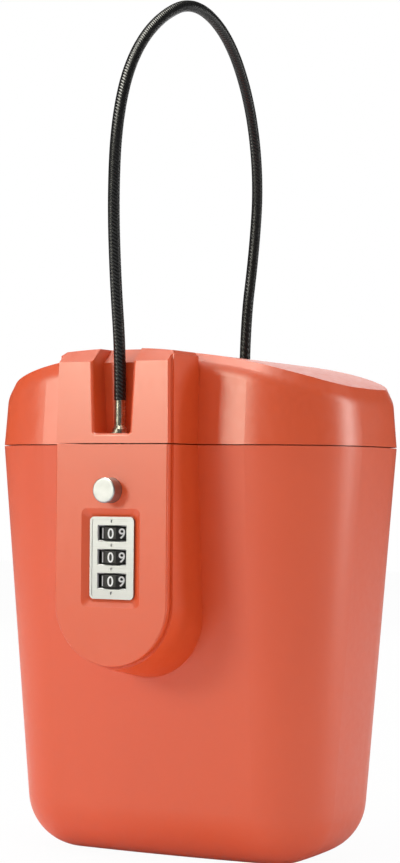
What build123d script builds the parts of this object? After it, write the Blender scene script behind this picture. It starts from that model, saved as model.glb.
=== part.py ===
from build123d import *
from math import cos, pi, radians, sin, tan
import os

# Portable lock-top safe: drafted plastic body, hinged arched lid, a raised lock housing at
# the front with three dial wheels and a push button, and a steel cable whose pin passes
# down through the lid into the lock. Millimetres, +Z up, front toward -Y.
# The origin is the centre of the bottom of the overall box without the cable.

# Shell plan outline and heights
shell_width = 180.0
shell_depth = 118.0
front_bow = 5.0
back_bow = 8.3
end_bow = 5.3
corner_radius = 42.0
seam_z = 186.0
body_draft = 4.6
bottom_radius = 26.0
wall = 3.0
floor_thickness = 3.5
seam_gap = 0.5

# Lid
lid_draft = 4.5
lid_rise = 41.7
arch_radius = 240.0
bevel_drop = 5.7
bevel_run = 2.8
bevel_round = 12.0

# Joint between body and lid: a locating lip and a rubber ring
lip_gap = 0.6
lip_thickness = 1.6
lip_rise = 3.0
lip_root = 6.0
seal_height = 1.5
seal_gap = 0.15
ledge_height = 2.0

# Rear hinge
hinge_proud = 5.5
knuckle_radius = 4.5
hinge_pin_radius = 1.5
knuckle_length = 11.7
knuckle_gap = 0.3
knuckle_web = 13.0

# Raised lock housing on the front
housing_proud = 25.1
housing_width = 57.4
housing_drop = 97.3
housing_slope = 11.0
housing_draft = 1.2
cover_thickness = 3.5
cover_step = 1.2
cover_skin = 2.1
cover_edge = 0.6
spigot_depth = 2.0
spigot_wall = 1.2
spigot_gap = 0.2
pad_margin = 2.55
pad_thickness = 1.5

# Front bevel and cable notch of the lid
lobe_top = 35.6
lobe_bevel_run = 5.8
lobe_bevel_rise = 4.7
side_bevel = 2.6
notch_half = 8.7
notch_draft = 2.5
notch_depth = 11.1
notch_floor = 4.5
notch_edge_radius = 1.4
notch_floor_radius = 1.1
pocket_wall = 2.6

# Cable pin, its bushes and the cable
pin_setback = 7.5
ferrule_radius = 2.4
ferrule_top = 19.0
pin_flange_radius = 3.25
pin_flange = 1.5
pin_radius = 2.0
neck_radius = 1.2
neck_length = 2.0
pin_tip = 11.0
eyelet_bore = 2.5
eyelet_wall = 1.2
eyelet_rim = 1.9
eyelet_rim_thickness = 0.4
cable_radius = 2.6
cable_entry_y = 47.0
cable_tail_z = 21.5
bush_gap = 0.2
bush_wall = 1.4
bush_rim = 1.6
bush_rim_height = 1.3
stop_radius = 4.5
stop_length = 8.0
stop_chamfer = 0.8

# Push button and latch
button_proud = 6.5
button_radius = 5.45
button_z = 20.1
button_edge = 0.7
button_gap = 0.1
button_flange = 1.2
button_flange_lap = 1.1
stem_radius = 1.75
rivet_radius = 2.2
rivet_height = 0.8
latch_sheet = 1.5
latch_bend = 1.2
latch_window_half = 2.6
latch_half = 6.0
latch_top = 5.3
latch_leg_foot = 24.0
latch_travel = 3.2
keyhole_radius = 2.5
keyslot_half = 1.4
spring_wire = 0.6
spring_radius = 2.8
spring_turns = 6

# Combination lock
plate_width = 21.6
plate_height = 35.5
plate_thickness = 1.2
plate_sink = 1.2
plate_corner = 2.0
plate_gap = 0.2
pocket_corner = 2.6
plate_rim = 1.0
plate_rim_height = 0.25
plate_z = 49.3
window_width = 13.3
window_height = 6.1
window_bevel = 0.5
dimple_radius = 0.7
dimple_depth = 0.5
pocket_margin = 3.6
wheel_pitch = 10.3
wheel_z = 49.0
wheel_apothem = 8.0
wheel_setback = 8.3
crown_height = 5.4
crown_chamfer = 0.3
hub_radius = 5.5
hub_height = 7.6
sleeve_radius = 4.0
running_gap = 0.05
gate_radius = 5.5
gate_height = 2.3
gate_gap = 0.1
gate_width = 3.4
gate_depth = 1.2
tooth_half = 1.5
tooth_height = 1.5
lock_clear = 0.3
shaft_radius = 2.0
shaft_head_radius = 3.2
shaft_head = 1.0

# Die-cast lock frame
frame_half = 12.2
frame_wall = 1.8
frame_gap = 0.2
frame_top = 7.0
frame_back = 24.1
shelf_z = 28.0
shelf_thickness = 2.0
chamber_lead = 8.8
chamber_back = 14.7
fence_slot_half = 5.4
fence_half = 5.0
fence_setback = 17.2
fence_gap = 0.4
lug_reach = 3.0
lug_radius = 2.6
lug_thickness = 3.0
lug_setback = 6.5
lug_z = (14.0, 60.0)
rail_height = 1.9
rail_width = 1.4
leaf_thickness = 0.4
leaf_half = 3.0
finger_reach = 1.1

# Screws
screw_radius = 1.25
screw_clear = 0.3
screw_head_radius = 2.3
screw_head = 1.6
screw_recess = 0.8
screw_recess_radius = 0.9
cover_screw_length = 10.0
frame_screw_length = 6.0
post_radius = 3.3
frame_post_radius = 2.4
post_inset = 7.2
post_z = (9.0, 72.0)
boss_radius = 4.4
boss_lead = 2.0
boss_grip = 4.0

# Positions that follow from the sizes above
housing_reach = shell_depth / 2 + housing_proud
hinge_reach = shell_depth / 2 + hinge_proud
shell_y = (housing_reach + button_proud - hinge_reach - knuckle_radius) / 2
half_gap = seam_gap / 2
body_top = seam_z - half_gap
lid_base = seam_z + half_gap
lid_top = seam_z + lid_rise
front_y = shell_y - shell_depth / 2
panel_y = shell_y - housing_reach
ledge_y = panel_y + cover_thickness
housing_half = housing_width / 2
post_x = housing_half - post_inset
lug_x = frame_half + lug_reach
cover_half = housing_half - cover_step
arc_z = seam_z - housing_drop + housing_half
hinge_y = shell_y + hinge_reach
pin_y = panel_y + pin_setback
wheel_y = panel_y + wheel_setback
skin_y = panel_y + cover_skin
plate_y = panel_y + plate_sink
pocket_y = plate_y + plate_thickness
wheel_heights = [seam_z - wheel_z + (1 - n) * wheel_pitch for n in range(3)]
tooth_heights = [z - hub_height / 2 - gate_gap - gate_height / 2 for z in wheel_heights]


def wall_front(z):
    return front_y + (seam_z - z) * tan(radians(body_draft))


def shell_outline(z, inset):
    # Closed outline with a gentle bow on every side and round corners
    half_w = shell_width / 2 - inset
    half_d = shell_depth / 2 - inset
    front = (half_w - end_bow, front_bow - half_d)
    back = (half_w - end_bow, half_d - back_bow)
    with BuildSketch(Plane(origin=(0, shell_y, z))) as outline:
        with BuildLine():
            ThreePointArc((-front[0], front[1]), (0, -half_d), front)
            ThreePointArc(front, (half_w, 0), back)
            ThreePointArc(back, (0, half_d), (-back[0], back[1]))
            ThreePointArc((-back[0], back[1]), (-half_w, 0), (-front[0], front[1]))
        make_face()
        fillet(outline.vertices(), corner_radius - inset)
    return outline.sketch


def shell_ring(z, outer_inset, inner_inset, height):
    with BuildPart() as ring:
        extrude(shell_outline(z, outer_inset), amount=height)
        extrude(shell_outline(z, inner_inset), amount=height, mode=Mode.SUBTRACT)
    return ring.part


def facing_front(y):
    # Sketch plane whose x is the object's X, whose y is Z, and which looks toward -Y
    return Plane(origin=(0, y, 0), x_dir=(1, 0, 0), z_dir=(0, -1, 0))


def facing_right(x):
    # Sketch plane whose x is the object's Y, whose y is Z, and which looks toward +X
    return Plane(origin=(x, 0, 0), x_dir=(0, 1, 0), z_dir=(1, 0, 0))


def tongue_outline(y, half, top, drop=0):
    # Straight sides that end in a half circle at the bottom
    foot = arc_z - drop
    with BuildSketch(facing_front(y)) as tongue:
        with BuildLine():
            Line((-half, foot), (-half, top))
            Line((-half, top), (half, top))
            Line((half, top), (half, foot))
            ThreePointArc((half, foot), (0, foot - half), (-half, foot))
        make_face()
    return tongue.sketch


def housing_block(half, top, run):
    # Tongue that runs back from the ledge and gets longer, so that its underside slopes down
    drop = run * tan(radians(housing_slope))
    with BuildPart() as block:
        add(tongue_outline(ledge_y, half, top))
        add(tongue_outline(ledge_y + run, half, top, drop))
        loft(ruled=True)
    return block.part


def knuckle_profile(x, side):
    # Barrel round the hinge line with a web that runs into the wall above or below it
    with BuildSketch(facing_right(x)) as knuckle:
        with Locations((hinge_y, seam_z)):
            Circle(knuckle_radius)
        with BuildLine():
            web_y = shell_y + shell_depth / 2 - wall
            Polyline(
                (web_y, seam_z + side * half_gap),
                (hinge_y, seam_z + side * half_gap),
                (hinge_y + knuckle_radius * sin(pi / 4), seam_z + side * knuckle_radius * cos(pi / 4)),
                (web_y, seam_z + side * knuckle_web),
                close=True,
            )
        make_face()
        with Locations((hinge_y, seam_z)):
            Circle(hinge_pin_radius + running_gap, mode=Mode.SUBTRACT)
    return knuckle.sketch


knuckle_step = knuckle_length + knuckle_gap
body_knuckles = [n * knuckle_step for n in (-2, 0, 2)]
lid_knuckles = [n * knuckle_step for n in (-1, 1)]

# Solids that the shells are cut with
with BuildPart() as body_outer:
    extrude(shell_outline(body_top, 0), amount=-body_top, taper=body_draft)
    fillet(body_outer.edges().group_by(Axis.Z)[0], bottom_radius)

with BuildPart() as body_inner:
    inner_height = body_top + 1 - floor_thickness
    extrude(shell_outline(body_top + 1, wall), amount=-inner_height, taper=body_draft)
    fillet(body_inner.edges().group_by(Axis.Z)[0], bottom_radius - wall)

# Space in front of the body wall that the lock stands in
housing_run = wall_front(seam_z - housing_drop) + wall - ledge_y
with BuildPart() as lock_bay:
    add(housing_block(housing_half - wall, seam_z - wall, housing_run))
    add(body_outer.part, mode=Mode.SUBTRACT)

boss_points = [(x, z) for z in post_z for x in (-post_x, post_x)]
lug_points = [(x, z) for z in lug_z for x in (-lug_x, lug_x)]

lip_inset = wall + lip_gap
lip_inner = lip_inset + lip_thickness
lip_root_ring = shell_ring(seam_z - lip_root, wall - half_gap, lip_inner, lip_root - half_gap)
lip_ring = shell_ring(body_top, lip_inset, lip_inner, lip_rise + half_gap)
ledge_z = seam_z + lip_rise + seal_gap + seal_height
ledge_ring = shell_ring(ledge_z, wall - half_gap, lip_inner + lip_gap, ledge_height)

# Body: bucket with the lock housing, lip, rear knuckles and screw bosses
with BuildPart() as body_shell:
    add(body_outer.part)
    add(housing_block(housing_half, body_top, housing_run))
    add(lock_bay.part, mode=Mode.SUBTRACT)
    for x, z in boss_points:
        boss_front = wall_front(seam_z - z) - boss_lead
        with BuildSketch(facing_front(boss_front)):
            with Locations((x, seam_z - z)):
                Circle(boss_radius)
        extrude(amount=-(boss_lead + wall))
    add(body_inner.part, mode=Mode.SUBTRACT)
    for x, z in boss_points:
        boss_front = wall_front(seam_z - z) - boss_lead
        with BuildSketch(facing_front(boss_front)):
            with Locations((x, seam_z - z)):
                Circle(screw_radius + screw_clear)
        extrude(amount=-boss_grip, mode=Mode.SUBTRACT)
        with BuildSketch(facing_front(boss_front + boss_grip)):
            with Locations((x, seam_z - z)):
                Circle(screw_head_radius + screw_clear)
        extrude(amount=-2 * wall, mode=Mode.SUBTRACT)
    add(lip_root_ring)
    add(lip_ring)
    for x in body_knuckles:
        extrude(knuckle_profile(x, -1), amount=knuckle_length / 2, both=True)
    with BuildSketch(Plane(origin=(0, pin_y, body_top))):
        Circle(eyelet_bore + eyelet_wall)
    extrude(amount=-2 * wall, mode=Mode.SUBTRACT)

# Lid: arched cap with its own half of the lock housing
arch_z = lid_top - arch_radius
with BuildPart() as lid_tongue:
    tongue_back = front_y + wall
    with BuildSketch(Plane.XY.offset(lid_base)):
        with BuildLine():
            Polyline(
                (-housing_half, tongue_back),
                (-housing_half, ledge_y),
                (-cover_half, ledge_y),
                (-cover_half, panel_y),
                (cover_half, panel_y),
                (cover_half, ledge_y),
                (housing_half, ledge_y),
                (housing_half, tongue_back),
                close=True,
            )
        make_face()
    extrude(amount=lid_rise, taper=housing_draft)
    with BuildSketch(facing_front(panel_y - wall)):
        with Locations((0, arch_z)):
            Circle(arch_radius)
    extrude(amount=-(tongue_back - panel_y + 2 * wall), mode=Mode.INTERSECT)
    # Slanted top at the front and narrow bevels along both sides
    lobe_z = seam_z + lobe_top
    lobe_y = panel_y + lobe_top * tan(radians(housing_draft))
    bevel_slope = lobe_bevel_rise / lobe_bevel_run
    with BuildSketch(facing_right(-housing_half - wall)):
        with BuildLine():
            Polyline(
                (lobe_y - wall, lobe_z - wall * bevel_slope),
                (lobe_y + 2 * lobe_bevel_run, lobe_z + 2 * lobe_bevel_rise),
                (lobe_y - wall, lobe_z + 2 * lobe_bevel_rise),
                close=True,
            )
        make_face()
    extrude(amount=housing_width + 2 * wall, mode=Mode.SUBTRACT)
    for side in (-1, 1):
        with BuildSketch(facing_front(panel_y - wall)):
            with BuildLine():
                bevel_x = side * (housing_half - side_bevel)
                crest_z = arch_z + (arch_radius**2 - bevel_x**2) ** 0.5
                Polyline(
                    (bevel_x, crest_z),
                    (bevel_x, crest_z + side_bevel),
                    (bevel_x + 2 * side * side_bevel, crest_z + side_bevel),
                    (bevel_x + 2 * side * side_bevel, crest_z - 2 * side_bevel),
                    close=True,
                )
            make_face()
        extrude(amount=-(tongue_back - panel_y + 2 * wall), mode=Mode.SUBTRACT)

# Recess for the cable: flared walls, and a slanted top behind it like that of the lobes
notch_y = panel_y + notch_depth
notch_z = seam_z + notch_floor
notch_rise = lid_rise - notch_floor
with BuildPart() as notch:
    with BuildSketch(facing_front(panel_y - wall)):
        flare = notch_rise * tan(radians(notch_draft))
        with BuildLine():
            Polyline(
                (-notch_half, notch_z),
                (notch_half, notch_z),
                (notch_half + flare, lid_top),
                (-notch_half - flare, lid_top),
                close=True,
            )
        make_face()
    extrude(amount=-(notch_depth + 2 * lobe_bevel_run + wall))
    with BuildSketch(facing_right(-housing_half)):
        with BuildLine():
            Polyline(
                (panel_y - wall, notch_z),
                (notch_y, notch_z),
                (notch_y, lobe_z),
                (notch_y + (lid_top - lobe_z) / bevel_slope, lid_top),
                (panel_y - wall, lid_top),
                close=True,
            )
        make_face()
    extrude(amount=housing_width, mode=Mode.INTERSECT)

with BuildPart() as lid_outer:
    extrude(shell_outline(lid_base, 0), amount=lid_rise + wall, taper=lid_draft)
    with BuildSketch(facing_front(-shell_depth)):
        with Locations((0, arch_z)):
            Circle(arch_radius)
    extrude(amount=-2 * shell_depth, mode=Mode.INTERSECT)
    chamfer(lid_outer.faces().sort_by(Axis.Z)[-1].edges(), length=bevel_drop, length2=bevel_run)
    # Soft change from the wall to the bevel
    under_bevel = lid_outer.edges().filter_by(lambda e: e.bounding_box().min.Z > lid_base + wall)
    under_bevel = under_bevel.filter_by(lambda e: e.length > 2 * bevel_drop)
    fillet(under_bevel - lid_outer.faces().sort_by(Axis.Z)[-1].edges(), bevel_round)

with BuildPart() as lid_inner:
    extrude(shell_outline(lid_base, wall), amount=lid_rise, taper=lid_draft)
    with BuildSketch(facing_front(-shell_depth)):
        with Locations((0, arch_z)):
            Circle(arch_radius - wall)
    extrude(amount=-2 * shell_depth, mode=Mode.INTERSECT)

with BuildPart() as lid_shell:
    add(lid_outer.part)
    add(lid_tongue.part)
    add(notch.part, mode=Mode.SUBTRACT)
    notch_reach = notch_half + 2 * flare
    notch_corners = lid_shell.edges().filter_by_position(Axis.X, -notch_reach, notch_reach)
    notch_corners = notch_corners.filter_by_position(Axis.Y, panel_y - wall, panel_y + wall)
    upright = notch_corners.filter_by(lambda e: e.bounding_box().size.Z > notch_rise / 2)
    fillet(upright, notch_edge_radius)
    sill = lid_shell.edges().filter_by_position(Axis.Z, notch_z - 0.01, notch_z + 0.01)
    sill = sill.filter_by_position(Axis.Y, panel_y - wall, panel_y + notch_edge_radius / 2)
    fillet(sill, notch_floor_radius)
    add(lid_inner.part, mode=Mode.SUBTRACT)
    # Cored-out hollows under the two lobes and behind the recess, open below
    hollow_back = front_y - pocket_wall
    lobe_in = notch_half + flare + pocket_wall
    lobe_out = cover_half - pocket_wall
    with BuildSketch(Plane.XY.offset(lid_base)):
        for side in (-1, 1):
            with Locations((side * (lobe_in + lobe_out) / 2, (panel_y + pocket_wall + hollow_back) / 2)):
                Rectangle(lobe_out - lobe_in, hollow_back - panel_y - pocket_wall)
    extrude(amount=lobe_top - 2 * pocket_wall, taper=housing_draft, mode=Mode.SUBTRACT)
    with BuildSketch(Plane.XY.offset(lid_base)):
        with Locations((0, (notch_y + pocket_wall + hollow_back) / 2)):
            Rectangle(2 * notch_half, hollow_back - notch_y - pocket_wall)
    extrude(amount=lobe_top - 2 * pocket_wall, taper=housing_draft, mode=Mode.SUBTRACT)
    # Ledge over the rubber ring
    add(ledge_ring)
    for x in lid_knuckles:
        extrude(knuckle_profile(x, 1), amount=knuckle_length / 2, both=True)
    with BuildSketch(Plane(origin=(0, pin_y, lid_base))):
        Circle(eyelet_bore + eyelet_wall)
    extrude(amount=notch_floor, mode=Mode.SUBTRACT)
    with BuildSketch(Plane(origin=(0, shell_y + cable_entry_y, lid_top))):
        Circle(cable_radius + bush_gap + bush_wall)
    extrude(amount=-2 * wall, mode=Mode.SUBTRACT)

# Rubber ring held under the ledge of the lid
with BuildPart() as lid_seal:
    add(shell_ring(ledge_z - seal_height, lip_inset, lip_inner, seal_height))

# Steel pin through the five hinge knuckles, with rounded ends
pin_length = (len(body_knuckles) + len(lid_knuckles)) * knuckle_step
with BuildPart() as hinge_pin:
    with BuildSketch(Plane(origin=(-pin_length / 2, hinge_y, seam_z), z_dir=(1, 0, 0))):
        Circle(hinge_pin_radius)
    extrude(amount=pin_length)
    fillet(hinge_pin.edges().filter_by(GeomType.CIRCLE), hinge_pin_radius / 3)

# Front cover of the lock housing, with the pocket for the dial plate
plate_centre = seam_z - plate_z
pad_back = pocket_y + pad_thickness
with BuildPart() as lock_cover:
    extrude(tongue_outline(panel_y, cover_half, body_top), amount=-cover_thickness)
    front_edges = lock_cover.faces().sort_by(Axis.Y)[0].edges()
    fillet(front_edges.sort_by(Axis.Z)[:-1], cover_edge)
    inner_half = housing_half - wall
    recess_half = inner_half - spigot_gap - spigot_wall
    recess_top = seam_z - wall - spigot_gap - spigot_wall
    extrude(tongue_outline(ledge_y, inner_half - spigot_gap, seam_z - wall - spigot_gap), amount=-spigot_depth)
    extrude(
        tongue_outline(skin_y, recess_half, recess_top),
        amount=-(cover_thickness + spigot_depth),
        mode=Mode.SUBTRACT,
    )
    with BuildSketch(facing_front(skin_y)):
        with Locations((0, plate_centre)):
            Rectangle(plate_width + 2 * pad_margin, plate_height + 2 * pad_margin)
    extrude(amount=-(pad_back - skin_y))
    # Pocket with sloping sides
    with BuildSketch(facing_front(pocket_y)):
        with Locations((0, plate_centre)):
            RectangleRounded(plate_width + 2 * plate_gap, plate_height + 2 * plate_gap, plate_corner)
    with BuildSketch(facing_front(panel_y)):
        with Locations((0, plate_centre)):
            RectangleRounded(plate_width + 2 * pocket_margin, plate_height + 2 * pocket_margin, pocket_corner)
    loft(ruled=True, mode=Mode.SUBTRACT)
    # One opening behind the plate for all three wheels and their discs
    opening_top = wheel_heights[0] + hub_height / 2 + lock_clear
    opening_foot = tooth_heights[2] - gate_height / 2 - lock_clear
    with BuildSketch(facing_front(pocket_y)):
        with Locations((0, (opening_top + opening_foot) / 2)):
            Rectangle(window_width + 2 * wall, opening_top - opening_foot)
    extrude(amount=-wall, mode=Mode.SUBTRACT)
    # Button hole
    with BuildSketch(facing_front(panel_y)):
        with Locations((0, seam_z - button_z)):
            Circle(button_radius + button_gap)
    extrude(amount=-wall, mode=Mode.SUBTRACT)
    # Screw posts
    for x, z in boss_points:
        boss_front = wall_front(seam_z - z) - boss_lead
        with BuildSketch(facing_front(skin_y)):
            with Locations((x, seam_z - z)):
                Circle(post_radius)
        extrude(amount=-(boss_front - skin_y))
        with BuildSketch(facing_front(boss_front)):
            with Locations((x, seam_z - z)):
                Circle(screw_radius)
        extrude(amount=cover_screw_length - boss_grip + screw_clear, mode=Mode.SUBTRACT)
    lug_y = panel_y + lug_setback
    for x, z in lug_points:
        with BuildSketch(facing_front(skin_y)):
            with Locations((x, seam_z - z)):
                Circle(frame_post_radius)
        extrude(amount=-(lug_y - skin_y))
        with BuildSketch(facing_front(lug_y)):
            with Locations((x, seam_z - z)):
                Circle(screw_radius)
        extrude(amount=frame_screw_length - lug_thickness + screw_clear, mode=Mode.SUBTRACT)

# Metal dial plate with a raised rim, three bevelled windows and index dimples
with BuildPart() as lock_plate:
    with BuildSketch(facing_front(pocket_y)):
        with Locations((0, plate_centre)):
            RectangleRounded(plate_width, plate_height, plate_corner)
    extrude(amount=plate_thickness)
    with BuildSketch(facing_front(plate_y)):
        with Locations((0, plate_centre)):
            RectangleRounded(plate_width - 2 * plate_rim, plate_height - 2 * plate_rim, plate_corner - plate_rim)
    extrude(amount=-plate_rim_height, mode=Mode.SUBTRACT)
    face_y = plate_y + plate_rim_height
    with BuildSketch(facing_front(face_y)):
        for z in wheel_heights:
            with Locations((0, z)):
                Rectangle(window_width, window_height)
    extrude(amount=-plate_thickness, mode=Mode.SUBTRACT)
    bevels = lock_plate.edges().filter_by_position(Axis.Y, face_y - 0.01, face_y + 0.01)
    bevels = bevels.filter_by_position(
        Axis.X, -window_width / 2 - 0.01, window_width / 2 + 0.01
    )
    bevels = bevels.filter_by_position(
        Axis.Z,
        wheel_heights[2] - window_height / 2 - 0.01,
        wheel_heights[0] + window_height / 2 + 0.01,
    )
    chamfer(bevels, window_bevel)
    with BuildSketch(facing_front(face_y)):
        for n in range(4):
            with Locations((0, wheel_heights[0] + (0.5 - n) * wheel_pitch)):
                Circle(dimple_radius)
    extrude(amount=-dimple_depth, mode=Mode.SUBTRACT)

# Push button with a stem riveted into the latch
stem_z = seam_z - button_z
button_face = panel_y - button_proud
flange_y = skin_y + button_gap
leg_y = flange_y + button_flange
rivet_y = leg_y + latch_sheet
with BuildPart() as push_button:
    with BuildSketch(facing_right(0)):
        with BuildLine():
            Polyline(
                (button_face, stem_z),
                (button_face, stem_z + button_radius),
                (flange_y, stem_z + button_radius),
                (flange_y, stem_z + button_radius + button_flange_lap),
                (leg_y, stem_z + button_radius + button_flange_lap),
                (leg_y, stem_z + stem_radius),
                (rivet_y, stem_z + stem_radius),
                (rivet_y, stem_z + rivet_radius),
                (rivet_y + rivet_height, stem_z + rivet_radius),
                (rivet_y + rivet_height, stem_z),
                close=True,
            )
        make_face()
    revolve(axis=Axis((0, 0, stem_z), (0, 1, 0)))
    fillet(push_button.faces().sort_by(Axis.Y)[0].edges(), button_edge)

# Latch: bent sheet with a keyhole round the pin, a front leg and a rear fence with teeth
fence_y = panel_y + fence_setback
latch_z = seam_z - latch_top
leg_foot_z = seam_z - latch_leg_foot
fence_foot_z = tooth_heights[2] - tooth_height / 2
tooth_tip_y = wheel_y + gate_radius - gate_depth + lock_clear
with BuildPart() as latch_plate:
    with BuildSketch(facing_right(-latch_half)):
        with BuildLine():
            Polyline(
                (leg_y, leg_foot_z),
                (leg_y, latch_z),
                (fence_y + latch_sheet, latch_z),
                (fence_y + latch_sheet, latch_z - latch_sheet),
                (rivet_y, latch_z - latch_sheet),
                (rivet_y, leg_foot_z),
                close=True,
            )
        make_face()
    extrude(amount=2 * latch_half)
    with BuildSketch(facing_front(fence_y)):
        with BuildLine():
            Polyline(
                (-fence_half, fence_foot_z),
                (-fence_half, latch_z - latch_sheet),
                (fence_half, latch_z - latch_sheet),
                (fence_half, fence_foot_z),
                close=True,
            )
        make_face()
    extrude(amount=-latch_sheet)
    outer_bends = latch_plate.edges().filter_by(Axis.X)
    outer_bends = outer_bends.filter_by_position(Axis.Z, latch_z - 0.01, latch_z + 0.01)
    fillet(outer_bends, latch_bend)
    with BuildSketch(facing_front(fence_y)):
        for z in tooth_heights:
            with Locations((0, z)):
                Rectangle(2 * tooth_half, tooth_height)
    extrude(amount=fence_y - tooth_tip_y)
    # Keyhole, and its slot that runs on into a window in the front leg
    with BuildSketch(Plane.XY.offset(latch_z)):
        with Locations((0, pin_y)):
            Circle(keyhole_radius)
        slot_end = pin_y - latch_travel - neck_radius - lock_clear
        with Locations((0, (slot_end + pin_y) / 2)):
            Rectangle(2 * keyslot_half, pin_y - slot_end)
    extrude(amount=-latch_sheet, mode=Mode.SUBTRACT)
    window_top = latch_z - latch_sheet
    window_foot = seam_z - pin_tip - latch_sheet
    with BuildSketch(facing_front(leg_y)):
        with Locations((0, (window_top + window_foot) / 2)):
            Rectangle(2 * latch_window_half, window_top - window_foot)
        with Locations((0, stem_z)):
            Circle(stem_radius)
    extrude(amount=-latch_sheet, mode=Mode.SUBTRACT)

# Return spring between the latch and the lock frame
rib_y = panel_y + chamber_back
with BuildPart() as latch_spring:
    coil_start = rivet_y + spring_wire / 2
    coil_length = rib_y - rivet_y - spring_wire
    with BuildLine() as coil:
        Helix(
            pitch=coil_length / spring_turns,
            height=coil_length,
            radius=spring_radius,
            center=(0, coil_start, stem_z),
            direction=(0, 1, 0),
        )
    with BuildSketch(Plane(origin=coil.line @ 0, z_dir=coil.line % 0)):
        Circle(spring_wire / 2)
    sweep(path=coil.line, is_frenet=True)

# Frame that carries the wheels, the latch and the spring
frame_front = pad_back + frame_gap
frame_y = panel_y + frame_back
chamber_y = panel_y + chamber_lead
cage_back = frame_y - frame_wall
cage_half = frame_half - frame_wall
frame_top_z = seam_z - frame_top
shelf_top = seam_z - shelf_z
shelf_foot = shelf_top - shelf_thickness
gate_foot = tooth_heights[2] - gate_height / 2
cage_foot = gate_foot - lock_clear
frame_foot = cage_foot - shelf_thickness
shaft_head_z = shelf_top
with BuildPart() as lock_frame:
    with BuildSketch(facing_front(frame_front)):
        with Locations((0, (frame_top_z + frame_foot) / 2)):
            Rectangle(2 * frame_half, frame_top_z - frame_foot)
    extrude(amount=-(frame_y - frame_front))
    fillet(lock_frame.faces().sort_by(Axis.Y)[-1].edges().filter_by(Axis.Z), frame_wall / 2)
    with BuildSketch(facing_front(frame_front)):
        with Locations((0, (shelf_foot + cage_foot) / 2)):
            Rectangle(2 * cage_half, shelf_foot - cage_foot)
    extrude(amount=-(cage_back - frame_front), mode=Mode.SUBTRACT)
    ceiling = frame_top_z - shelf_thickness
    with BuildSketch(facing_front(frame_front)):
        with Locations((0, (ceiling + shelf_top) / 2)):
            Rectangle(2 * cage_half, ceiling - shelf_top)
    extrude(amount=-(rib_y - frame_front), mode=Mode.SUBTRACT)
    with BuildSketch(facing_front(frame_front)):
        with Locations((0, (frame_top_z + shelf_top) / 2)):
            Rectangle(2 * cage_half, frame_top_z - shelf_top)
    extrude(amount=-(chamber_y - frame_front), mode=Mode.SUBTRACT)
    slot_front = fence_y - fence_gap
    with BuildSketch(Plane.XY.offset(frame_top_z)):
        with Locations((0, pin_y)):
            Circle(keyhole_radius + lock_clear)
        with Locations((0, (slot_front + cage_back) / 2)):
            Rectangle(2 * fence_slot_half, cage_back - slot_front)
    extrude(amount=-(frame_top_z - shelf_foot), mode=Mode.SUBTRACT)
    for side in (-1, 1):
        with BuildSketch(Plane.XY.offset(frame_top_z)):
            with Locations((side * (latch_half + frame_gap + rail_width / 2), (chamber_y + frame_y) / 2)):
                Rectangle(rail_width, frame_y - chamber_y - frame_wall)
        extrude(amount=rail_height)
    with BuildSketch(Plane.XY.offset(shelf_top)):
        with Locations((0, wheel_y)):
            Circle(shaft_radius)
    extrude(amount=-(shelf_top - frame_foot), mode=Mode.SUBTRACT)
    for x, z in lug_points:
        side = 1 if x > 0 else -1
        with BuildSketch(facing_front(lug_y)):
            with Locations((x, seam_z - z)):
                Circle(lug_radius)
            with Locations(((x + side * cage_half) / 2, seam_z - z)):
                Rectangle(abs(x) - cage_half, 2 * lug_radius)
            with Locations((x, seam_z - z)):
                Circle(screw_radius + screw_clear, mode=Mode.SUBTRACT)
            with Locations((side * (cage_half - lug_radius), seam_z - z)):
                Rectangle(2 * lug_radius, 3 * lug_radius, mode=Mode.SUBTRACT)
        extrude(amount=-lug_thickness)

# Shaft of the three wheels
with BuildPart() as dial_shaft:
    with BuildSketch(Plane.XY.offset(frame_foot)):
        with Locations((0, wheel_y)):
            Circle(shaft_radius)
    extrude(amount=shelf_top - frame_foot)
    with BuildSketch(Plane.XY.offset(shaft_head_z)):
        with Locations((0, wheel_y)):
            Circle(shaft_head_radius)
    extrude(amount=shaft_head)
    fillet(dial_shaft.edges().group_by(Axis.Z)[0], shaft_radius / 4)
    fillet(dial_shaft.edges().group_by(Axis.Z)[-1], shaft_head / 3)


def dial_wheel(z):
    # Ten-sided crown on a round hub, one flat toward the front
    with BuildPart() as wheel:
        with BuildSketch(Plane(origin=(0, wheel_y, z))):
            RegularPolygon(wheel_apothem, 10, major_radius=False)
        extrude(amount=crown_height / 2, both=True)
        chamfer(wheel.edges().group_by(Axis.Z)[0] + wheel.edges().group_by(Axis.Z)[-1], crown_chamfer)
        with BuildSketch(Plane(origin=(0, wheel_y, z))):
            Circle(hub_radius)
        extrude(amount=hub_height / 2, both=True)
        with BuildSketch(Plane(origin=(0, wheel_y, z))):
            Circle(sleeve_radius + running_gap)
        extrude(amount=hub_height, both=True, mode=Mode.SUBTRACT)
    return wheel.part


def dial_sleeve(z):
    # Tube inside the wheel on a disc with one gate at the rear
    with BuildPart() as sleeve:
        disc_top = z - hub_height / 2 - gate_gap
        with BuildSketch(Plane(origin=(0, wheel_y, disc_top))):
            Circle(gate_radius)
            with Locations((0, gate_radius)):
                Rectangle(gate_width, 2 * gate_depth, mode=Mode.SUBTRACT)
        extrude(amount=-gate_height)
        with BuildSketch(Plane(origin=(0, wheel_y, disc_top))):
            Circle(sleeve_radius)
        extrude(amount=hub_height)
        with BuildSketch(Plane(origin=(0, wheel_y, disc_top - gate_height))):
            Circle(shaft_radius + running_gap)
        extrude(amount=gate_height + hub_height, mode=Mode.SUBTRACT)
    return sleeve.part


with BuildPart() as dial_wheel_top:
    add(dial_wheel(wheel_heights[0]))

with BuildPart() as dial_wheel_middle:
    add(dial_wheel(wheel_heights[1]))

with BuildPart() as dial_wheel_bottom:
    add(dial_wheel(wheel_heights[2]))

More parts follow.
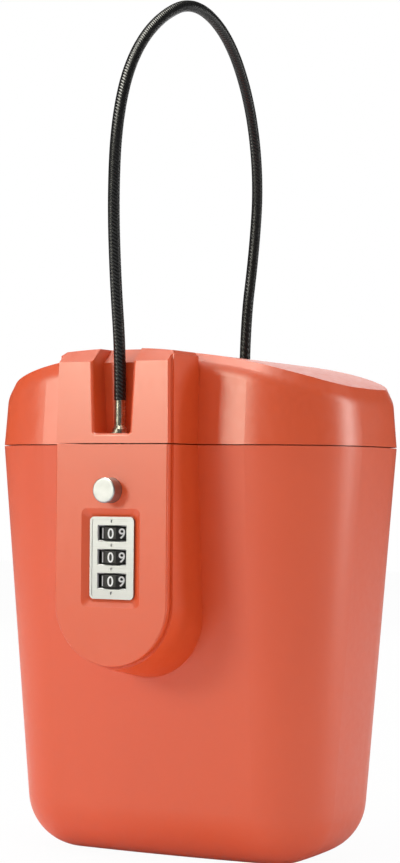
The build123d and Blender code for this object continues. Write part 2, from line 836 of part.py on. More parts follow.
with BuildPart() as dial_sleeve_top:
    add(dial_sleeve(wheel_heights[0]))

with BuildPart() as dial_sleeve_middle:
    add(dial_sleeve(wheel_heights[1]))

with BuildPart() as dial_sleeve_bottom:
    add(dial_sleeve(wheel_heights[2]))

# Leaf spring with one finger beside each wheel
leaf_x = cage_half - leaf_thickness
with BuildPart() as detent_spring:
    with BuildSketch(facing_right(leaf_x)):
        with Locations((wheel_y, (shelf_foot + cage_foot) / 2)):
            Rectangle(2 * leaf_half, shelf_foot - cage_foot)
        for z in wheel_heights:
            with Locations((wheel_y - leaf_half / 2, z)):
                Rectangle(leaf_half * 2, crown_height / 2, mode=Mode.SUBTRACT)
    extrude(amount=leaf_thickness)
    for z in wheel_heights:
        with BuildSketch(Plane.XY.offset(z)):
            with BuildLine():
                Polyline(
                    (leaf_x + leaf_thickness, wheel_y + leaf_half / 2),
                    (leaf_x, wheel_y + leaf_half / 2),
                    (leaf_x - finger_reach, wheel_y - leaf_half / 2),
                    (leaf_x - finger_reach + leaf_thickness, wheel_y - leaf_half / 2 - leaf_thickness / 2),
                    close=True,
                )
            make_face()
        extrude(amount=crown_height / 4 - running_gap, both=True)

# Bush in the top of the body housing and eyelet in the floor of the lid recess
with BuildPart() as pin_socket:
    with BuildSketch(Plane(origin=(0, pin_y, body_top))):
        Circle(eyelet_bore + eyelet_wall)
        Circle(eyelet_bore, mode=Mode.SUBTRACT)
    extrude(amount=-(wall - half_gap))

with BuildPart() as pin_eyelet:
    with BuildSketch(Plane(origin=(0, pin_y, lid_base))):
        Circle(eyelet_bore + eyelet_wall)
    extrude(amount=notch_floor - half_gap)
    with BuildSketch(Plane(origin=(0, pin_y, notch_z))):
        Circle(eyelet_bore + eyelet_rim)
    extrude(amount=eyelet_rim_thickness)
    with BuildSketch(Plane(origin=(0, pin_y, lid_base))):
        Circle(eyelet_bore)
    extrude(amount=notch_floor + eyelet_rim_thickness, mode=Mode.SUBTRACT)

# Steel pin with the crimped ferrule of the cable, a flange, a neck and a pointed tip
flange_z = notch_z + eyelet_rim_thickness
ferrule_z = seam_z + ferrule_top
neck_z = seam_z - latch_top + frame_gap
neck_foot = neck_z - neck_length
tip_z = seam_z - pin_tip
tip_radius = pin_radius / 2
with BuildPart() as lock_pin:
    with BuildSketch(Plane(origin=(0, pin_y, 0), x_dir=(1, 0, 0), z_dir=(0, -1, 0))):
        with BuildLine():
            Polyline(
                (0, tip_z),
                (tip_radius, tip_z),
                (pin_radius, tip_z + pin_radius),
                (pin_radius, neck_foot),
                (neck_radius, neck_foot),
                (neck_radius, neck_z),
                (pin_radius, neck_z),
                (pin_radius, flange_z),
                (pin_flange_radius, flange_z),
                (pin_flange_radius, flange_z + pin_flange),
                (ferrule_radius, flange_z + 2 * pin_flange),
                (ferrule_radius, ferrule_z),
                (0, ferrule_z),
                close=True,
            )
        make_face()
    revolve(axis=Axis((0, pin_y, 0), (0, 0, 1)))

# Route of the cable in the plane X = 0: distance from the shell centre and height above the seam
cable_route = [
    (pin_y - shell_y, ferrule_top),
    (pin_y - shell_y, 38.0),
    (-81.8, 72.0),
    (-84.4, 106.0),
    (-82.0, 140.0),
    (-70.0, 169.0),
    (-45.0, 192.0),
    (-10.0, 207.0),
    (26.0, 198.0),
    (51.0, 170.0),
    (61.5, 133.0),
    (57.0, 96.5),
    (cable_entry_y, 58.0),
    (cable_entry_y, cable_tail_z),
]
route = [Vector(0, shell_y + y, seam_z + z) for y, z in cable_route]
bend_share = 0.45
radii = []
for before, corner, after in zip(route, route[1:], route[2:]):
    shorter = min((corner - before).length, (after - corner).length)
    turn = (corner - before).get_angle(after - corner)
    radii.append(bend_share * shorter / tan(radians(turn) / 2))
with BuildPart() as lock_cable:
    with BuildLine() as cable_path:
        FilletPolyline(*route, radius=radii)
    with BuildSketch(Plane(origin=route[0], z_dir=route[1] - route[0])):
        Circle(cable_radius)
    sweep(path=cable_path.line)

# Rubber bush where the cable enters the top of the lid
bush_y = shell_y + cable_entry_y
with BuildPart() as cable_bush:
    with BuildSketch(Plane(origin=(0, bush_y, lid_top - wall))):
        Circle(cable_radius + bush_gap + bush_wall)
    extrude(amount=wall)
    with BuildSketch(Plane(origin=(0, bush_y, lid_top))):
        Circle(cable_radius + bush_gap + bush_wall + bush_rim)
    extrude(amount=bush_rim_height)
    fillet(cable_bush.edges().group_by(Axis.Z)[-1], bush_rim_height / 2)
    with BuildSketch(Plane(origin=(0, bush_y, lid_top - wall))):
        Circle(cable_radius + bush_gap)
    extrude(amount=wall + bush_rim_height, mode=Mode.SUBTRACT)

# End stop crimped on the tail of the cable inside the lid
stop_top = seam_z + cable_tail_z
with BuildPart() as cable_stop:
    with BuildSketch(Plane(origin=(0, bush_y, stop_top))):
        Circle(stop_radius)
    extrude(amount=-stop_length)
    chamfer(cable_stop.edges().filter_by(GeomType.CIRCLE), stop_chamfer)

# Screws: round heads with a socket
with BuildPart() as cover_screws:
    for x, z in boss_points:
        seat_y = wall_front(seam_z - z) - boss_lead + boss_grip
        with BuildSketch(facing_front(seat_y)):
            with Locations((x, seam_z - z)):
                Circle(screw_radius)
        extrude(amount=cover_screw_length)
        with BuildSketch(facing_front(seat_y)):
            with Locations((x, seam_z - z)):
                Circle(screw_head_radius)
        extrude(amount=-screw_head)
        with BuildSketch(facing_front(seat_y + screw_head)):
            with Locations((x, seam_z - z)):
                RegularPolygon(screw_recess_radius, 6)
        extrude(amount=screw_recess, mode=Mode.SUBTRACT)

with BuildPart() as frame_screws:
    for x, z in lug_points:
        seat_y = lug_y + lug_thickness
        with BuildSketch(facing_front(seat_y)):
            with Locations((x, seam_z - z)):
                Circle(screw_radius)
        extrude(amount=frame_screw_length)
        with BuildSketch(facing_front(seat_y)):
            with Locations((x, seam_z - z)):
                Circle(screw_head_radius)
        extrude(amount=-screw_head)
        with BuildSketch(facing_front(seat_y + screw_head)):
            with Locations((x, seam_z - z)):
                RegularPolygon(screw_recess_radius, 6)
        extrude(amount=screw_recess, mode=Mode.SUBTRACT)

os.makedirs("parts", exist_ok=True)
body_shell.part.label = "body_shell"
export_step(body_shell.part, "parts/body_shell.step")
lid_shell.part.label = "lid_shell"
export_step(lid_shell.part, "parts/lid_shell.step")
lid_seal.part.label = "lid_seal"
export_step(lid_seal.part, "parts/lid_seal.step")
hinge_pin.part.label = "hinge_pin"
export_step(hinge_pin.part, "parts/hinge_pin.step")
lock_cover.part.label = "lock_cover"
export_step(lock_cover.part, "parts/lock_cover.step")
lock_plate.part.label = "lock_plate"
export_step(lock_plate.part, "parts/lock_plate.step")
push_button.part.label = "push_button"
export_step(push_button.part, "parts/push_button.step")
latch_plate.part.label = "latch_plate"
export_step(latch_plate.part, "parts/latch_plate.step")
latch_spring.part.label = "latch_spring"
export_step(latch_spring.part, "parts/latch_spring.step")
lock_frame.part.label = "lock_frame"
export_step(lock_frame.part, "parts/lock_frame.step")
dial_shaft.part.label = "dial_shaft"
export_step(dial_shaft.part, "parts/dial_shaft.step")
dial_wheel_top.part.label = "dial_wheel_top"
export_step(dial_wheel_top.part, "parts/dial_wheel_top.step")
dial_wheel_middle.part.label = "dial_wheel_middle"
export_step(dial_wheel_middle.part, "parts/dial_wheel_middle.step")
dial_wheel_bottom.part.label = "dial_wheel_bottom"
export_step(dial_wheel_bottom.part, "parts/dial_wheel_bottom.step")
dial_sleeve_top.part.label = "dial_sleeve_top"
export_step(dial_sleeve_top.part, "parts/dial_sleeve_top.step")
dial_sleeve_middle.part.label = "dial_sleeve_middle"
export_step(dial_sleeve_middle.part, "parts/dial_sleeve_middle.step")
dial_sleeve_bottom.part.label = "dial_sleeve_bottom"
export_step(dial_sleeve_bottom.part, "parts/dial_sleeve_bottom.step")
detent_spring.part.label = "detent_spring"
export_step(detent_spring.part, "parts/detent_spring.step")
pin_socket.part.label = "pin_socket"
export_step(pin_socket.part, "parts/pin_socket.step")
pin_eyelet.part.label = "pin_eyelet"
export_step(pin_eyelet.part, "parts/pin_eyelet.step")
lock_pin.part.label = "lock_pin"
export_step(lock_pin.part, "parts/lock_pin.step")
lock_cable.part.label = "lock_cable"
export_step(lock_cable.part, "parts/lock_cable.step")
cable_bush.part.label = "cable_bush"
export_step(cable_bush.part, "parts/cable_bush.step")
cable_stop.part.label = "cable_stop"
export_step(cable_stop.part, "parts/cable_stop.step")
cover_screws.part.label = "cover_screws"
export_step(cover_screws.part, "parts/cover_screws.step")
frame_screws.part.label = "frame_screws"
export_step(frame_screws.part, "parts/frame_screws.step")

cable_length = sum(edge.length for edge in cable_path.line.edges())
cable_fill = lock_cable.part.volume / (pi * cable_radius**2 * cable_length)
print("cable radii", [round(r) for r in radii])
print("cable length", round(cable_length, 1), "volume against section times length", round(cable_fill, 4))
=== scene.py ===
import math

import bpy
from mathutils import Matrix, Vector


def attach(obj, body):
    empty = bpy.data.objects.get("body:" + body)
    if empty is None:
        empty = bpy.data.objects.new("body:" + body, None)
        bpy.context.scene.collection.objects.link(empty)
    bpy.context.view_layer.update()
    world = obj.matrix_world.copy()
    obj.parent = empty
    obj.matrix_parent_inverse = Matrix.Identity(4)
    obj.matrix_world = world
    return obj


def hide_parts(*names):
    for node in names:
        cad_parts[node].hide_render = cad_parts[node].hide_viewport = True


bl_info = {
    "name": "Portable Safe",
    "version": (1, 0, 0),
    "blender": (4, 5, 0),
    "location": "3D Viewport > Sidebar > Safe",
    "description": "Dresses the portable safe with its finishes, dial digits, tether cable and studio",
    "category": "Object",
}

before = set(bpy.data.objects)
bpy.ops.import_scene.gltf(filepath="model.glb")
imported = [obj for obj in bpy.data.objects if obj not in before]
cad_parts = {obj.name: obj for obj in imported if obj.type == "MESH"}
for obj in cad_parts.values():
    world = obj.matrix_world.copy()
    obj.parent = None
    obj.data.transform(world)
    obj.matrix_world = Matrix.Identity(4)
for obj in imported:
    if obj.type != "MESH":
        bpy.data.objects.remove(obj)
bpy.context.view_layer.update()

# Places on the safe, in metres: centre line of the shell, seam, and axis and heights of the wheels
SHELL_Y = 0.0108
SEAM_Z = 0.186
WHEEL_Y = -0.065
TOP_WHEEL_Z = 0.1473
WHEEL_PITCH = 0.0103
WHEELS = {f"dial_{n + 1}": TOP_WHEEL_Z - n * WHEEL_PITCH for n in range(3)}

# Route of the cable in the middle plane: Y from the shell centre and Z above the seam
CABLE_ROUTE = (
    (-0.0766, 0.0190),
    (-0.0766, 0.0380),
    (-0.0818, 0.0720),
    (-0.0844, 0.1060),
    (-0.0820, 0.1400),
    (-0.0700, 0.1690),
    (-0.0450, 0.1920),
    (-0.0100, 0.2070),
    (0.0260, 0.1980),
    (0.0510, 0.1700),
    (0.0615, 0.1330),
    (0.0570, 0.0965),
    (0.0470, 0.0580),
    (0.0470, 0.0215),
)

# The lay of the strands that shows through the sleeve, in stripes along and round the cable
STRIPES_ALONG = 262.3
STRIPES_ROUND = 7
# What a wave texture needs as its scale for one stripe
STRIPE = math.tau / 10

# A wheel carries ten digits, and a digit is this share of the type size high
DIGITS = 10
DIGIT_SHARE = 0.73

# The photograph's camera: place in metres, turn, fall and roll in degrees, lens in millimetres
CAMERA_PLACE = (0.45673, -0.88597, 0.16991)
CAMERA_ANGLES = (26.99, -1.3, -0.48)
CAMERA_LENS = 90.2
CAMERA_SHIFT = (0.00014, 0.0013)
SENSOR = 36.0
FAR_CLIP = 50

# Strength of the surroundings for matte and for glossy rays, and the floor's share of pure white
MATTE_SURROUNDINGS = 0.55
GLOSSY_SURROUNDINGS = 0.06
FLOOR_WHITE_SHARE = 0.96

# Soft lights: place, aim, size, power in watts, colour, and whether it lights matte and glossy rays
WHITE = (1, 1, 1)
KEY = ((-0.62, -1.20, 0.60), (0, 0, 0.18), (0.35, 0.35))
STRIP = ((1.17, 0.68, 0.42), (0, 0, 0.16), (0.2, 0.6))
LIGHTS = {
    "key_left": (*KEY, 4.2, WHITE, True, True),
    "key_shine": (*KEY, 11.5, (1, 0.98, 0.74), False, True),
    "fill_left": ((-1.20, -0.25, 0.45), (0, 0, 0.16), (0.6, 0.8), 2.6, WHITE, True, False),
    "strip_right": (*STRIP, 3.4, WHITE, True, True),
    "strip_shine": (*STRIP, 4.0, (1, 0.98, 0.85), False, True),
    "back_left": ((-0.58, 1.38, 0.60), (0, 0, 0.2), (1.0, 0.5), 3.0, WHITE, True, True),
    "overhead": ((-0.20, -0.20, 1.35), (0, 0, 0.2), (0.7, 0.7), 5.5, WHITE, True, True),
    "overhead_shine": (
        (-0.10, -0.20, 1.35), (0, 0, 0.2), (0.7, 0.7), 24, (1, 0.98, 0.85), False, True),
}


class SafeSizes(bpy.types.PropertyGroup):
    """Sizes of the pieces that the scene makes"""

    cable_diameter: bpy.props.FloatProperty(
        name="Cable diameter", description="Thickness of the sleeved tether cable",
        default=0.0052, min=0.003, max=0.008, unit="LENGTH")
    cable_length: bpy.props.FloatProperty(
        name="Cable length", description="Length of the cable from its ferrule to its end stop",
        default=0.4467, min=0.3, max=0.6, unit="LENGTH")
    digit_height: bpy.props.FloatProperty(
        name="Digit height", description="Height of the digits on the dial wheels",
        default=0.0045, min=0.002, max=0.006, unit="LENGTH")
    digit_relief: bpy.props.FloatProperty(
        name="Digit relief", description="How far the digits stand out of the wheels",
        default=0.00006, min=0.00001, max=0.0003, unit="LENGTH")
    digit_weight: bpy.props.FloatProperty(
        name="Digit weight", description="How much the strokes of the digits are thickened",
        default=0.00007, min=0, max=0.0003, unit="LENGTH")
    wheel_apothem: bpy.props.FloatProperty(
        name="Wheel apothem", description="Distance from the axis of a wheel to its flats",
        default=0.008, min=0.004, max=0.012, unit="LENGTH")
    floor_size: bpy.props.FloatProperty(
        name="Floor size", description="Side of the studio floor",
        default=6.0, min=1.0, max=20.0, unit="LENGTH")


class SafeColours(bpy.types.PropertyGroup):
    """Colours of the finishes"""

    shell: bpy.props.FloatVectorProperty(
        name="Shell", description="Coral plastic of body, lid and lock cover",
        subtype="COLOR", default=(0.740, 0.080, 0.012), min=0, max=1)
    shell_light: bpy.props.FloatVectorProperty(
        name="Shell light", description="Lighter flow of the coral plastic",
        subtype="COLOR", default=(0.765, 0.088, 0.015), min=0, max=1)
    sleeve: bpy.props.FloatVectorProperty(
        name="Cable sleeve", description="Black plastic over the strands of the cable",
        subtype="COLOR", default=(0.006, 0.006, 0.006), min=0, max=1)
    rubber: bpy.props.FloatVectorProperty(
        name="Rubber", description="Black rubber of seal and bush",
        subtype="COLOR", default=(0.020, 0.020, 0.021), min=0, max=1)
    wheel: bpy.props.FloatVectorProperty(
        name="Dial wheels", description="Black plastic of the dial wheels",
        subtype="COLOR", default=(0.005, 0.005, 0.005), min=0, max=1)
    digit: bpy.props.FloatVectorProperty(
        name="Digits", description="White ink of the digits",
        subtype="COLOR", default=(0.82, 0.82, 0.80), min=0, max=1)
    plate: bpy.props.FloatVectorProperty(
        name="Dial plate", description="Satin metal of the dial plate and button",
        subtype="COLOR", default=(0.42, 0.425, 0.44), min=0, max=1)
    steel: bpy.props.FloatVectorProperty(
        name="Steel", description="Bright steel of hinge pin, latch, springs and screws",
        subtype="COLOR", default=(0.56, 0.56, 0.57), min=0, max=1)
    plating: bpy.props.FloatVectorProperty(
        name="Plating", description="Plated steel of the cable's pin and of what it stands in",
        subtype="COLOR", default=(0.46, 0.43, 0.36), min=0, max=1)
    casting: bpy.props.FloatVectorProperty(
        name="Casting", description="Raw die-cast metal of the lock frame",
        subtype="COLOR", default=(0.42, 0.42, 0.43), min=0, max=1)
    brass: bpy.props.FloatVectorProperty(
        name="Brass", description="Turned brass of the dial sleeves",
        subtype="COLOR", default=(0.62, 0.42, 0.14), min=0, max=1)
    floor: bpy.props.FloatVectorProperty(
        name="Floor", description="Pale floor of the studio",
        subtype="COLOR", default=(0.92, 0.92, 0.92), min=0, max=1)


def sizes():
    return bpy.context.scene.safe_sizes


def colours():
    return bpy.context.scene.safe_colours


def clear_selection():
    if bpy.context.object and bpy.context.object.mode != "OBJECT":
        bpy.ops.object.mode_set(mode="OBJECT")
    bpy.ops.object.select_all(action="DESELECT")


def pick(*objs):
    clear_selection()
    for o in objs:
        o.select_set(True)
    bpy.context.view_layer.objects.active = objs[0]


def shade(colour, factor):
    return tuple(min(1.0, c * factor) for c in colour)


# Finishes


class Finish:
    """A node material that is built up step by step"""

    def __init__(self, name):
        self.material = bpy.data.materials.new(name)
        self.material.use_nodes = True
        self.tree = self.material.node_tree
        self.tree.nodes.clear()
        self.output = self.node("ShaderNodeOutputMaterial")
        self.surface = self.node("ShaderNodeBsdfPrincipled")
        self.link(self.surface.outputs["BSDF"], self.output.inputs["Surface"])

    def node(self, kind, **values):
        made = self.tree.nodes.new(kind)
        for key, value in values.items():
            setattr(made, key, value)
        return made

    def link(self, a, b):
        self.tree.links.new(a, b)

    def set(self, **values):
        for name, value in values.items():
            self.surface.inputs[name].default_value = value

    def into(self, socket, value):
        self.link(value, self.surface.inputs[socket])

    def place(self, source="Object", scale=(1, 1, 1)):
        where = self.node("ShaderNodeTexCoord")
        mapping = self.node("ShaderNodeMapping")
        mapping.inputs["Scale"].default_value = scale
        self.link(where.outputs[source], mapping.inputs["Vector"])
        return mapping.outputs["Vector"]

    def noise(self, vector, scale, detail=3.0, rough=0.6):
        cloud = self.node("ShaderNodeTexNoise")
        cloud.inputs["Scale"].default_value = scale
        cloud.inputs["Detail"].default_value = detail
        cloud.inputs["Roughness"].default_value = rough
        self.link(vector, cloud.inputs["Vector"])
        return cloud.outputs["Fac"]

    def spread(self, value, low=0, high=1):
        # The middle of a noise's range, stretched from low to high
        out = self.node("ShaderNodeMapRange")
        out.inputs["From Min"].default_value = 0.3
        out.inputs["From Max"].default_value = 0.7
        out.inputs["To Min"].default_value = low
        out.inputs["To Max"].default_value = high
        self.link(value, out.inputs["Value"])
        return out.outputs["Result"]

    def blend(self, value, first, second):
        mix = self.node("ShaderNodeMix", data_type="RGBA")
        factor, first_colour, second_colour = mix.inputs[0], mix.inputs[6], mix.inputs[7]
        first_colour.default_value = (*first, 1)
        second_colour.default_value = (*second, 1)
        self.link(self.spread(value), factor)
        return mix.outputs[2]

    def bump(self, height, distance, strength, under=None):
        relief = self.node("ShaderNodeBump")
        relief.inputs["Strength"].default_value = strength
        relief.inputs["Distance"].default_value = distance
        self.link(height, relief.inputs["Height"])
        if under is not None:
            self.link(under, relief.inputs["Normal"])
        return relief.outputs["Normal"]


def moulded_plastic():
    # Semi-matte moulded plastic: faint flow marks, a fine spark-eroded grain, light scuffs
    f = Finish("coral_plastic")
    at = f.place()
    flow = f.noise(at, scale=14, detail=4, rough=0.55)
    f.into("Base Color", f.blend(flow, colours().shell, colours().shell_light))
    grain = f.noise(at, scale=2600, detail=2)
    wave = f.noise(at, scale=60, detail=2, rough=0.5)
    grain_relief = f.bump(grain, distance=0.00002, strength=0.5)
    f.into("Normal", f.bump(wave, distance=0.00025, strength=0.06, under=grain_relief))
    f.into("Roughness", f.spread(f.noise(at, scale=300), 0.33, 0.41))
    f.set(IOR=1.7)
    return f.material


def brushed(name, colour, roughness, stretch):
    # Metal with fine brushing lines, which run along the axis that is stretched least
    f = Finish(name)
    lines = f.noise(f.place(scale=stretch), scale=1)
    f.into("Base Color", f.blend(lines, shade(colour, 0.93), shade(colour, 1.04)))
    f.into("Roughness", f.spread(lines, *roughness))
    f.into("Normal", f.bump(lines, distance=0.00001, strength=0.35))
    f.set(Metallic=1.0)
    return f.material


def plain_metal(name, colour, roughness, scale, relief):
    # Metal with an uneven surface: castings, turned parts and plated pins
    f = Finish(name)
    at = f.place()
    cloud = f.noise(at, scale, detail=4)
    f.into("Base Color", f.blend(cloud, shade(colour, 0.92), shade(colour, 1.05)))
    f.into("Roughness", f.spread(cloud, *roughness))
    f.into("Normal", f.bump(f.noise(at, scale * 5, detail=2, rough=0.5), relief, strength=0.4))
    f.set(Metallic=1.0)
    return f.material


def black_plastic(name, colour, roughness, scale, relief):
    f = Finish(name)
    at = f.place()
    cloud = f.noise(at, scale)
    f.into("Base Color", f.blend(cloud, shade(colour, 0.8), shade(colour, 1.3)))
    f.into("Roughness", f.spread(cloud, *roughness))
    f.into("Normal", f.bump(f.noise(at, scale * 6, detail=2, rough=0.5), relief, strength=0.5))
    f.set(IOR=1.48)
    return f.material


def cable_sleeve():
    # Glossy black sleeve that shows the lay of the strands under it as low diagonal waves
    f = Finish("black_cable_sleeve")
    at = f.place("UV", scale=(STRIPES_ALONG * STRIPE, STRIPES_ROUND * STRIPE, 1))
    strands = f.node("ShaderNodeTexWave", wave_type="BANDS", bands_direction="DIAGONAL")
    strands.inputs["Scale"].default_value = 1
    f.link(at, strands.inputs["Vector"])
    dust = f.noise(f.place(), scale=900)
    sleeve = colours().sleeve
    f.into("Base Color", f.blend(dust, sleeve, shade(sleeve, 1.6)))
    f.into("Roughness", f.spread(dust, 0.24, 0.36))
    f.into("Normal", f.bump(strands.outputs["Fac"], distance=0.0003, strength=0.6))
    f.set(IOR=1.42)
    return f.material


def white_ink():
    f = Finish("white_dial_ink")
    wear = f.noise(f.place(), scale=2200)
    digit = colours().digit
    f.into("Base Color", f.blend(wear, shade(digit, 0.88), digit))
    f.into("Roughness", f.spread(wear, 0.45, 0.6))
    return f.material


def seen_directly(tree):
    # One for rays that come from the camera or through something clear, and zero for the rest
    ray = tree.nodes.new("ShaderNodeLightPath")
    seen = tree.nodes.new("ShaderNodeMath")
    seen.operation = "MAXIMUM"
    tree.links.new(ray.outputs["Is Camera Ray"], seen.inputs[0])
    tree.links.new(ray.outputs["Is Transmission Ray"], seen.inputs[1])
    return seen.outputs[0]


def pale_floor():
    # Paper that lights up for the camera, so that it runs into the white behind it
    f = Finish("pale_floor")
    f.set(Roughness=0.9)
    paper = f.noise(f.place(), scale=40, rough=0.5)
    floor = colours().floor
    f.into("Base Color", f.blend(paper, floor, shade(floor, 1.02)))
    glow = f.node("ShaderNodeEmission")
    share = f.node("ShaderNodeMath", operation="MULTIPLY")
    share.inputs[1].default_value = FLOOR_WHITE_SHARE
    f.link(seen_directly(f.tree), share.inputs[0])
    mix = f.node("ShaderNodeMixShader")
    f.link(share.outputs[0], mix.inputs[0])
    f.link(f.surface.outputs["BSDF"], mix.inputs[1])
    f.link(glow.outputs[0], mix.inputs[2])
    f.link(mix.outputs[0], f.output.inputs["Surface"])
    return f.material


def finish_nodes(material, *names):
    for name in names:
        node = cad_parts[name]
        node.data.materials.clear()
        node.data.materials.append(material)


# Pieces


class SAFE_OT_camera(bpy.types.Operator):
    """Camera at the photograph's height, distance and angle"""

    bl_idname = "safe.camera"
    bl_label = "Camera"

    def execute(self, context):
        turn, pitch, roll = (math.radians(a) for a in CAMERA_ANGLES)
        level = math.cos(pitch)
        ahead = Vector((-math.sin(turn) * level, math.cos(turn) * level, -math.sin(pitch)))
        right = Vector((math.cos(turn), math.sin(turn), 0))
        up = right.cross(ahead)
        right, up = (
            right * math.cos(roll) - up * math.sin(roll),
            right * math.sin(roll) + up * math.cos(roll),
        )
        data = bpy.data.cameras.new("photo_camera")
        data.sensor_width = SENSOR
        data.lens = CAMERA_LENS
        data.shift_x, data.shift_y = CAMERA_SHIFT
        data.clip_end = FAR_CLIP
        camera = bpy.data.objects.new("photo_camera", data)
        context.scene.collection.objects.link(camera)
        place = Matrix((right, up, -ahead)).transposed().to_4x4()
        place.translation = CAMERA_PLACE
        camera.matrix_world = place
        context.scene.camera = camera
        return {"FINISHED"}


class SAFE_OT_cable(bpy.types.Operator):
    """Sleeved tether cable on one smooth curve from its ferrule to the stop inside the lid"""

    bl_idname = "safe.cable"
    bl_label = "Tether cable"

    def execute(self, context):
        curve = bpy.data.curves.new("tether_cable", "CURVE")
        curve.dimensions = "3D"
        curve.resolution_u = 24
        curve.bevel_depth = sizes().cable_diameter / 2
        curve.bevel_resolution = 8
        curve.use_fill_caps = True
        line = curve.splines.new("NURBS")
        line.points.add(len(CABLE_ROUTE) - 1)
        for point, (y, z) in zip(line.points, CABLE_ROUTE):
            point.co = (0, SHELL_Y + y, SEAM_Z + z, 1)
        line.order_u = 3
        line.use_endpoint_u = True
        line.use_smooth = True
        cable = bpy.data.objects.new("tether_cable", curve)
        context.scene.collection.objects.link(cable)
        curve.materials.append(cable_sleeve())
        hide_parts("lock_cable")
        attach(cable, "cable")
        y, z = CABLE_ROUTE[0]
        return {"FINISHED"}


def digit_mesh(digit, height):
    """One raised digit on its flat of the wheel at this height"""
    s = sizes()
    clear_selection()
    lean = -math.tau / DIGITS * digit
    out = Vector((math.sin(lean), -math.cos(lean), 0))
    centre = Vector((0, WHEEL_Y, height)) + out * (s.wheel_apothem - s.digit_relief / 2)
    bpy.ops.object.text_add(rotation=(math.pi / 2, 0, lean), location=centre)
    text = bpy.context.object
    text.data.body = str(digit)
    text.data.size = s.digit_height / DIGIT_SHARE
    text.data.align_x = "CENTER"
    text.data.align_y = "CENTER"
    text.data.extrude = s.digit_relief
    text.data.offset = s.digit_weight
    text.data.resolution_u = 6
    bpy.ops.object.convert(target="MESH")
    across = [v.co.x for v in text.data.vertices]
    upward = [v.co.y for v in text.data.vertices]
    stretch = s.digit_height / (max(upward) - min(upward))
    for v in text.data.vertices:
        v.co.x = (v.co.x - (min(across) + max(across)) / 2) * stretch
        v.co.y = (v.co.y - (min(upward) + max(upward)) / 2) * stretch
    return text


class SAFE_OT_digits(bpy.types.Operator):
    """White digits round each of the dial wheels, zero to the front"""

    bl_idname = "safe.digits"
    bl_label = "Dial digits"

    def execute(self, context):
        ink = white_ink()
        for body, height in WHEELS.items():
            pick(*[digit_mesh(digit, height) for digit in range(DIGITS)])
            bpy.ops.object.join()
            bpy.ops.object.transform_apply(location=True, rotation=True, scale=True)
            digits = context.object
            digits.name = "digits_" + body
            digits.data.materials.clear()
            digits.data.materials.append(ink)
            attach(digits, body)
        return {"FINISHED"}


class SAFE_OT_shell_finish(bpy.types.Operator):
    """Coral plastic on the body, the lid and the lock cover, rubber on seal and bush"""

    bl_idname = "safe.shell_finish"
    bl_label = "Shell finishes"

    def execute(self, context):
        finish_nodes(moulded_plastic(), "body_shell", "lid_shell", "lock_cover")
        finish_nodes(
            black_plastic("black_rubber", colours().rubber, (0.6, 0.8), 500, 0.00003),
            "lid_seal", "cable_bush",
        )
        return {"FINISHED"}


class SAFE_OT_lock_finish(bpy.types.Operator):
    """Metals and black plastic on the lock, the hinge, the pin and the screws"""

    bl_idname = "safe.lock_finish"
    bl_label = "Lock finishes"

    def execute(self, context):
        c = colours()
        finish_nodes(
            brushed("satin_plate", c.plate, (0.42, 0.54), stretch=(40, 2600, 2600)),
            "lock_plate",
        )
        finish_nodes(
            plain_metal("polished_button", c.plate, (0.34, 0.44), 300, 0.00001),
            "push_button",
        )
        finish_nodes(
            brushed("rolled_steel", c.steel, (0.3, 0.45), stretch=(2600, 2600, 40)),
            "latch_plate", "detent_spring",
        )
        finish_nodes(
            plain_metal("turned_steel", c.steel, (0.2, 0.34), 700, 0.00001),
            "hinge_pin", "latch_spring", "dial_shaft", "cover_screws", "frame_screws",
        )
        finish_nodes(
            plain_metal("plated_steel", c.plating, (0.2, 0.3), 400, 0.000005),
            "lock_pin", "pin_socket", "pin_eyelet", "cable_stop",
        )
        finish_nodes(
            plain_metal("die_casting", c.casting, (0.42, 0.6), 450, 0.00004),
            "lock_frame",
        )
        finish_nodes(
            plain_metal("turned_brass", c.brass, (0.22, 0.36), 600, 0.00001),
            "dial_sleeve_top", "dial_sleeve_middle", "dial_sleeve_bottom",
        )
        finish_nodes(
            black_plastic("black_wheel_plastic", c.wheel, (0.5, 0.65), 900, 0.00002),
            "dial_wheel_top", "dial_wheel_middle", "dial_wheel_bottom",
        )
        return {"FINISHED"}


def soft_light(name, place, aim, size, power, colour, matte, glossy):
    data = bpy.data.lights.new(name, "AREA")
    data.shape = "RECTANGLE"
    data.size, data.size_y = size
    data.energy = power
    data.color = colour
    lamp = bpy.data.objects.new(name, data)
    bpy.context.scene.collection.objects.link(lamp)
    lamp.visible_diffuse = matte
    lamp.visible_glossy = glossy
    lamp.location = place
    lamp.rotation_euler = (Vector(aim) - Vector(place)).to_track_quat("-Z", "Y").to_euler()


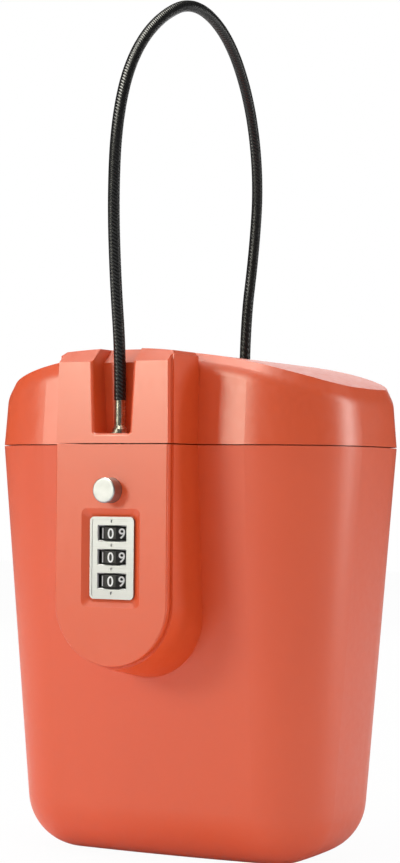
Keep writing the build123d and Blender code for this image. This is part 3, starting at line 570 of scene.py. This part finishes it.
def studio_air():
    """White for the camera, and softer surroundings that light the safe and show in its gloss"""
    world = bpy.data.worlds.new("studio_air")
    world.use_nodes = True
    tree = world.node_tree
    tree.nodes.clear()
    ray = tree.nodes.new("ShaderNodeLightPath")
    strength = tree.nodes.new("ShaderNodeMapRange")
    strength.inputs["To Min"].default_value = MATTE_SURROUNDINGS
    strength.inputs["To Max"].default_value = GLOSSY_SURROUNDINGS
    light = tree.nodes.new("ShaderNodeBackground")
    white = tree.nodes.new("ShaderNodeBackground")
    for ground in (light, white):
        ground.inputs["Color"].default_value = (*WHITE, 1)
    mix = tree.nodes.new("ShaderNodeMixShader")
    out = tree.nodes.new("ShaderNodeOutputWorld")
    tree.links.new(ray.outputs["Is Glossy Ray"], strength.inputs["Value"])
    tree.links.new(strength.outputs["Result"], light.inputs["Strength"])
    tree.links.new(seen_directly(tree), mix.inputs[0])
    tree.links.new(light.outputs[0], mix.inputs[1])
    tree.links.new(white.outputs[0], mix.inputs[2])
    tree.links.new(mix.outputs[0], out.inputs["Surface"])
    return world


class SAFE_OT_studio(bpy.types.Operator):
    """Pale floor, white surroundings and soft lights"""

    bl_idname = "safe.studio"
    bl_label = "Studio"

    def execute(self, context):
        scene = context.scene
        scene.view_settings.view_transform = "Standard"
        clear_selection()
        bpy.ops.mesh.primitive_plane_add(size=sizes().floor_size, location=(0, 0, 0))
        floor = context.object
        floor.name = "studio_floor"
        floor.data.materials.append(pale_floor())
        scene.world = studio_air()
        for name, values in LIGHTS.items():
            soft_light(name, *values)
        return {"FINISHED"}


class SAFE_PT_panel(bpy.types.Panel):
    """Lists the pieces of the safe and their sizes and colours"""

    bl_idname = "SAFE_PT_panel"
    bl_label = "Portable Safe"
    bl_space_type = "VIEW_3D"
    bl_region_type = "UI"
    bl_category = "Safe"

    def draw(self, context):
        column = self.layout.column()
        for name in ("camera", "cable", "shell_finish", "lock_finish", "digits", "studio"):
            column.operator("safe." + name)
        for group in (context.scene.safe_sizes, context.scene.safe_colours):
            for field in group.bl_rna.properties:
                if field.identifier not in ("rna_type", "name"):
                    column.prop(group, field.identifier)


CLASSES = (
    SafeSizes,
    SafeColours,
    SAFE_OT_camera,
    SAFE_OT_cable,
    SAFE_OT_digits,
    SAFE_OT_shell_finish,
    SAFE_OT_lock_finish,
    SAFE_OT_studio,
    SAFE_PT_panel,
)


def register():
    for made in CLASSES:
        bpy.utils.register_class(made)
    bpy.types.Scene.safe_sizes = bpy.props.PointerProperty(type=SafeSizes)
    bpy.types.Scene.safe_colours = bpy.props.PointerProperty(type=SafeColours)


def unregister():
    del bpy.types.Scene.safe_colours
    del bpy.types.Scene.safe_sizes
    for made in reversed(CLASSES):
        bpy.utils.unregister_class(made)


def main():
    register()
    bpy.ops.safe.camera()
    bpy.ops.safe.cable()
    bpy.ops.safe.shell_finish()
    bpy.ops.safe.lock_finish()
    bpy.ops.safe.digits()
    bpy.ops.safe.studio()


if __name__ == "__main__":
    main()
